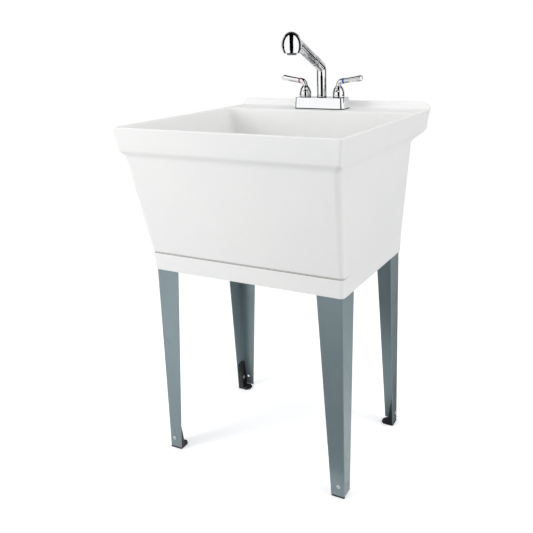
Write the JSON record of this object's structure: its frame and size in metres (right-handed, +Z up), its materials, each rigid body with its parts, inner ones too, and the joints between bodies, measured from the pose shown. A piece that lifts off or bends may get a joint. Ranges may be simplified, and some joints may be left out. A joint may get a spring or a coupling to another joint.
{
  "type": "utility laundry sink",
  "caption": "Freestanding utility laundry sink: a deep moulded tub on angle-steel legs with levelling feet, and a two-handle deck faucet with a pull-out spray wand.",
  "frame": {"origin": "on the floor, under the middle of the tub's rim", "axes": "+Z up, +X to the right of someone facing the sink, -Y towards them"},
  "size_m": [0.581, 0.59, 1.075],
  "materials": {
    "white_plastic": "satin moulded",
    "leg_paint": "semi-gloss",
    "black_plastic": "matte",
    "steel": "zinc plated",
    "chrome": "polished",
    "grey_plastic": "satin",
    "nylon": "satin",
    "brass": "satin",
    "rubber": "matte",
    "red_ring": "gloss",
    "blue_ring": "gloss"
  },
  "bodies": {
    "sink": {"tub": "white_plastic", "drain_flange": "steel", "drain_gasket": "rubber", "drain_locknut": "brass", "tailpiece_washer": "nylon", "tailpiece": "chrome", "tailpiece_nut": "chrome", "leg_front_left": "leg_paint", "leg_front_right": "leg_paint", "leg_rear_left": "leg_paint", "leg_rear_right": "leg_paint", "leg_screw_front_left": "steel", "leg_screw_front_right": "steel", "leg_screw_rear_left": "steel", "leg_screw_rear_right": "steel", "foot_screw_front_left": "steel", "foot_screw_front_right": "steel", "foot_screw_rear_left": "steel", "foot_screw_rear_right": "steel", "foot_nut_front_left": "steel", "foot_nut_front_right": "steel", "foot_nut_rear_left": "steel", "foot_nut_rear_right": "steel", "faucet_base": "chrome", "deck_gasket": "rubber", "waterway": "grey_plastic", "mounting_nut_hot": "grey_plastic", "mounting_nut_cold": "grey_plastic", "cartridge_hot": "brass", "cartridge_cold": "brass"},
    "hot_handle": {"handle_hub_hot": "chrome", "handle_screw_hot": "steel", "index_ring_hot": "red_ring", "handle_lever_hot": "chrome"},
    "cold_handle": {"handle_hub_cold": "chrome", "handle_screw_cold": "steel", "index_ring_cold": "blue_ring", "handle_lever_cold": "chrome"},
    "swivel_spout": {"spout": "chrome", "spout_bushing": "nylon", "wand_dock": "nylon"},
    "spray_wand": {"wand_body": "chrome", "spray_face": "grey_plastic", "hose_connector": "brass"},
    "stopper": {"drain_stopper": "rubber"},
    "front_left_foot": {"foot_front_left": "black_plastic"},
    "front_right_foot": {"foot_front_right": "black_plastic"},
    "rear_left_foot": {"foot_rear_left": "black_plastic"},
    "rear_right_foot": {"foot_rear_right": "black_plastic"}
  },
  "joints": [
    {"name": "hot_handle_turn", "type": "hinge", "parent": "sink", "child": "hot_handle", "pos_m": [-0.0508, 0.2265, 0.93], "axis": [0, 0, 1], "range_deg": [0, 90]},
    {"name": "cold_handle_turn", "type": "hinge", "parent": "sink", "child": "cold_handle", "pos_m": [0.0508, 0.2265, 0.93], "axis": [0, 0, -1], "range_deg": [0, 90]},
    {"name": "spout_swivel", "type": "hinge", "parent": "sink", "child": "swivel_spout", "pos_m": [0, 0.2265, 0.93], "axis": [0, 0, 1], "range_deg": [-60, 60]},
    {"name": "wand_pull_out", "type": "slide", "parent": "swivel_spout", "child": "spray_wand", "axis": [0, -0.9063, 0.4226], "range_m": [0, 0.15]},
    {"name": "drain_stopper_lift", "type": "slide", "parent": "sink", "child": "stopper", "axis": [0, 0, 1], "range_m": [0, 0.2]},
    {"name": "front_left_foot_adjust", "type": "slide", "parent": "sink", "child": "front_left_foot", "axis": [0, 0, -1], "range_m": [0, 0.02]},
    {"name": "front_right_foot_adjust", "type": "slide", "parent": "sink", "child": "front_right_foot", "axis": [0, 0, -1], "range_m": [0, 0.02]},
    {"name": "rear_left_foot_adjust", "type": "slide", "parent": "sink", "child": "rear_left_foot", "axis": [0, 0, -1], "range_m": [0, 0.02]},
    {"name": "rear_right_foot_adjust", "type": "slide", "parent": "sink", "child": "rear_right_foot", "axis": [0, 0, -1], "range_m": [0, 0.02]}
  ]
}
